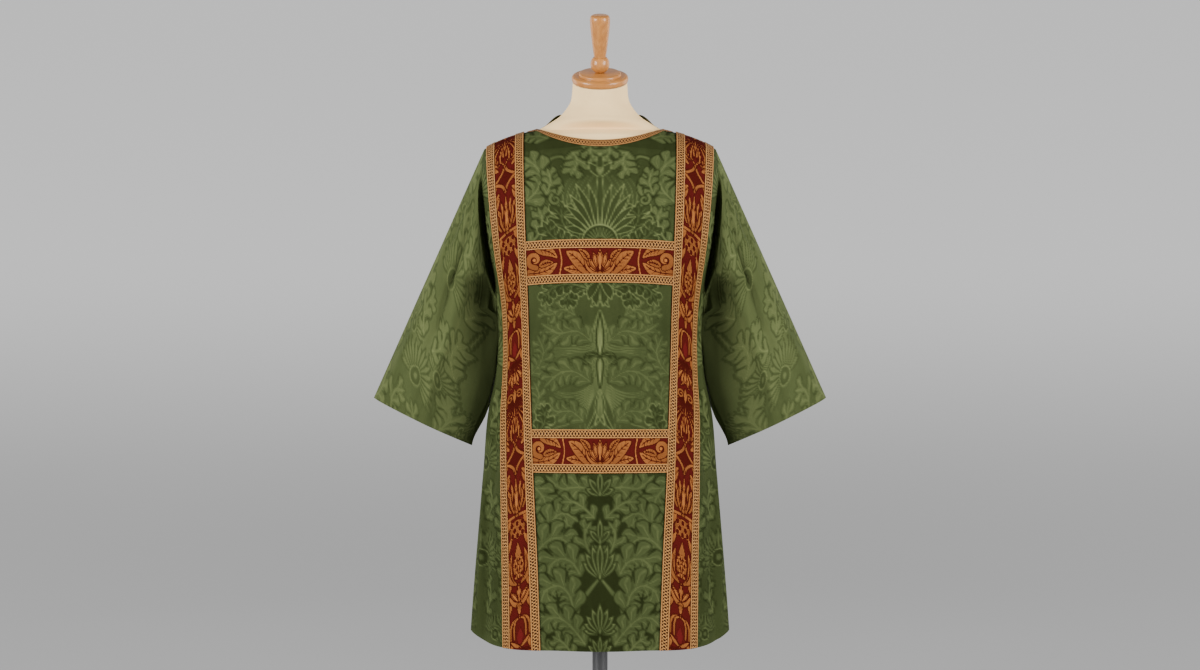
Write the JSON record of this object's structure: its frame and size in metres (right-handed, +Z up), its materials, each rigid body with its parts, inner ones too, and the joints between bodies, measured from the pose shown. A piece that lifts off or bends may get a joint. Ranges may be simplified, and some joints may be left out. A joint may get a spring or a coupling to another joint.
{
  "type": "dalmatic on dress form",
  "caption": "Green silk damask dalmatic with red and gold orphreys and gold galloon, open at neck, cuffs and hem, on a limbless dress form with a wooden neck cap and round base.",
  "frame": {"origin": "centre of the stand's base on its underside, on the floor and under the form's neck", "axes": "+Z up, the garment's front faces -Y, its left sleeve in the front view is at -X"},
  "size_m": [0.945, 0.3603, 1.6848],
  "materials": {
    "damask": "silk damask, soft sheen",
    "brocade": "woven red and gold brocade",
    "galloon": "gold thread braid",
    "jersey": "matt cream jersey",
    "beech": "varnished beech",
    "stand": "satin dark grey"
  },
  "bodies": {
    "root": {"apparel_back_lower": "brocade", "apparel_back_lower_bottom_braid": "galloon", "apparel_back_lower_top_braid": "galloon", "apparel_back_upper": "brocade", "apparel_back_upper_bottom_braid": "galloon", "apparel_back_upper_top_braid": "galloon", "apparel_front_lower": "brocade", "apparel_front_lower_bottom_braid": "galloon", "apparel_front_lower_top_braid": "galloon", "apparel_front_upper": "brocade", "apparel_front_upper_bottom_braid": "galloon", "apparel_front_upper_top_braid": "galloon", "back_panel_centre": "damask", "back_panel_left": "damask", "back_panel_right": "damask", "dress_form_torso": "jersey", "finial": "beech", "front_panel_centre": "damask", "front_panel_left": "damask", "front_panel_right": "damask", "neck_braid_back": "galloon", "neck_braid_front": "galloon", "neck_cap": "beech", "orphrey_back_left": "brocade", "orphrey_back_left_inner_braid": "galloon", "orphrey_back_left_outer_braid": "galloon", "orphrey_back_right": "brocade", "orphrey_back_right_inner_braid": "galloon", "orphrey_back_right_outer_braid": "galloon", "orphrey_front_left": "brocade", "orphrey_front_left_inner_braid": "galloon", "orphrey_front_left_outer_braid": "galloon", "orphrey_front_right": "brocade", "orphrey_front_right_inner_braid": "galloon", "orphrey_front_right_outer_braid": "galloon", "sleeve_left": "damask", "sleeve_right": "damask", "stand_base": "stand", "stand_pole": "stand"}
  },
  "joints": []
}
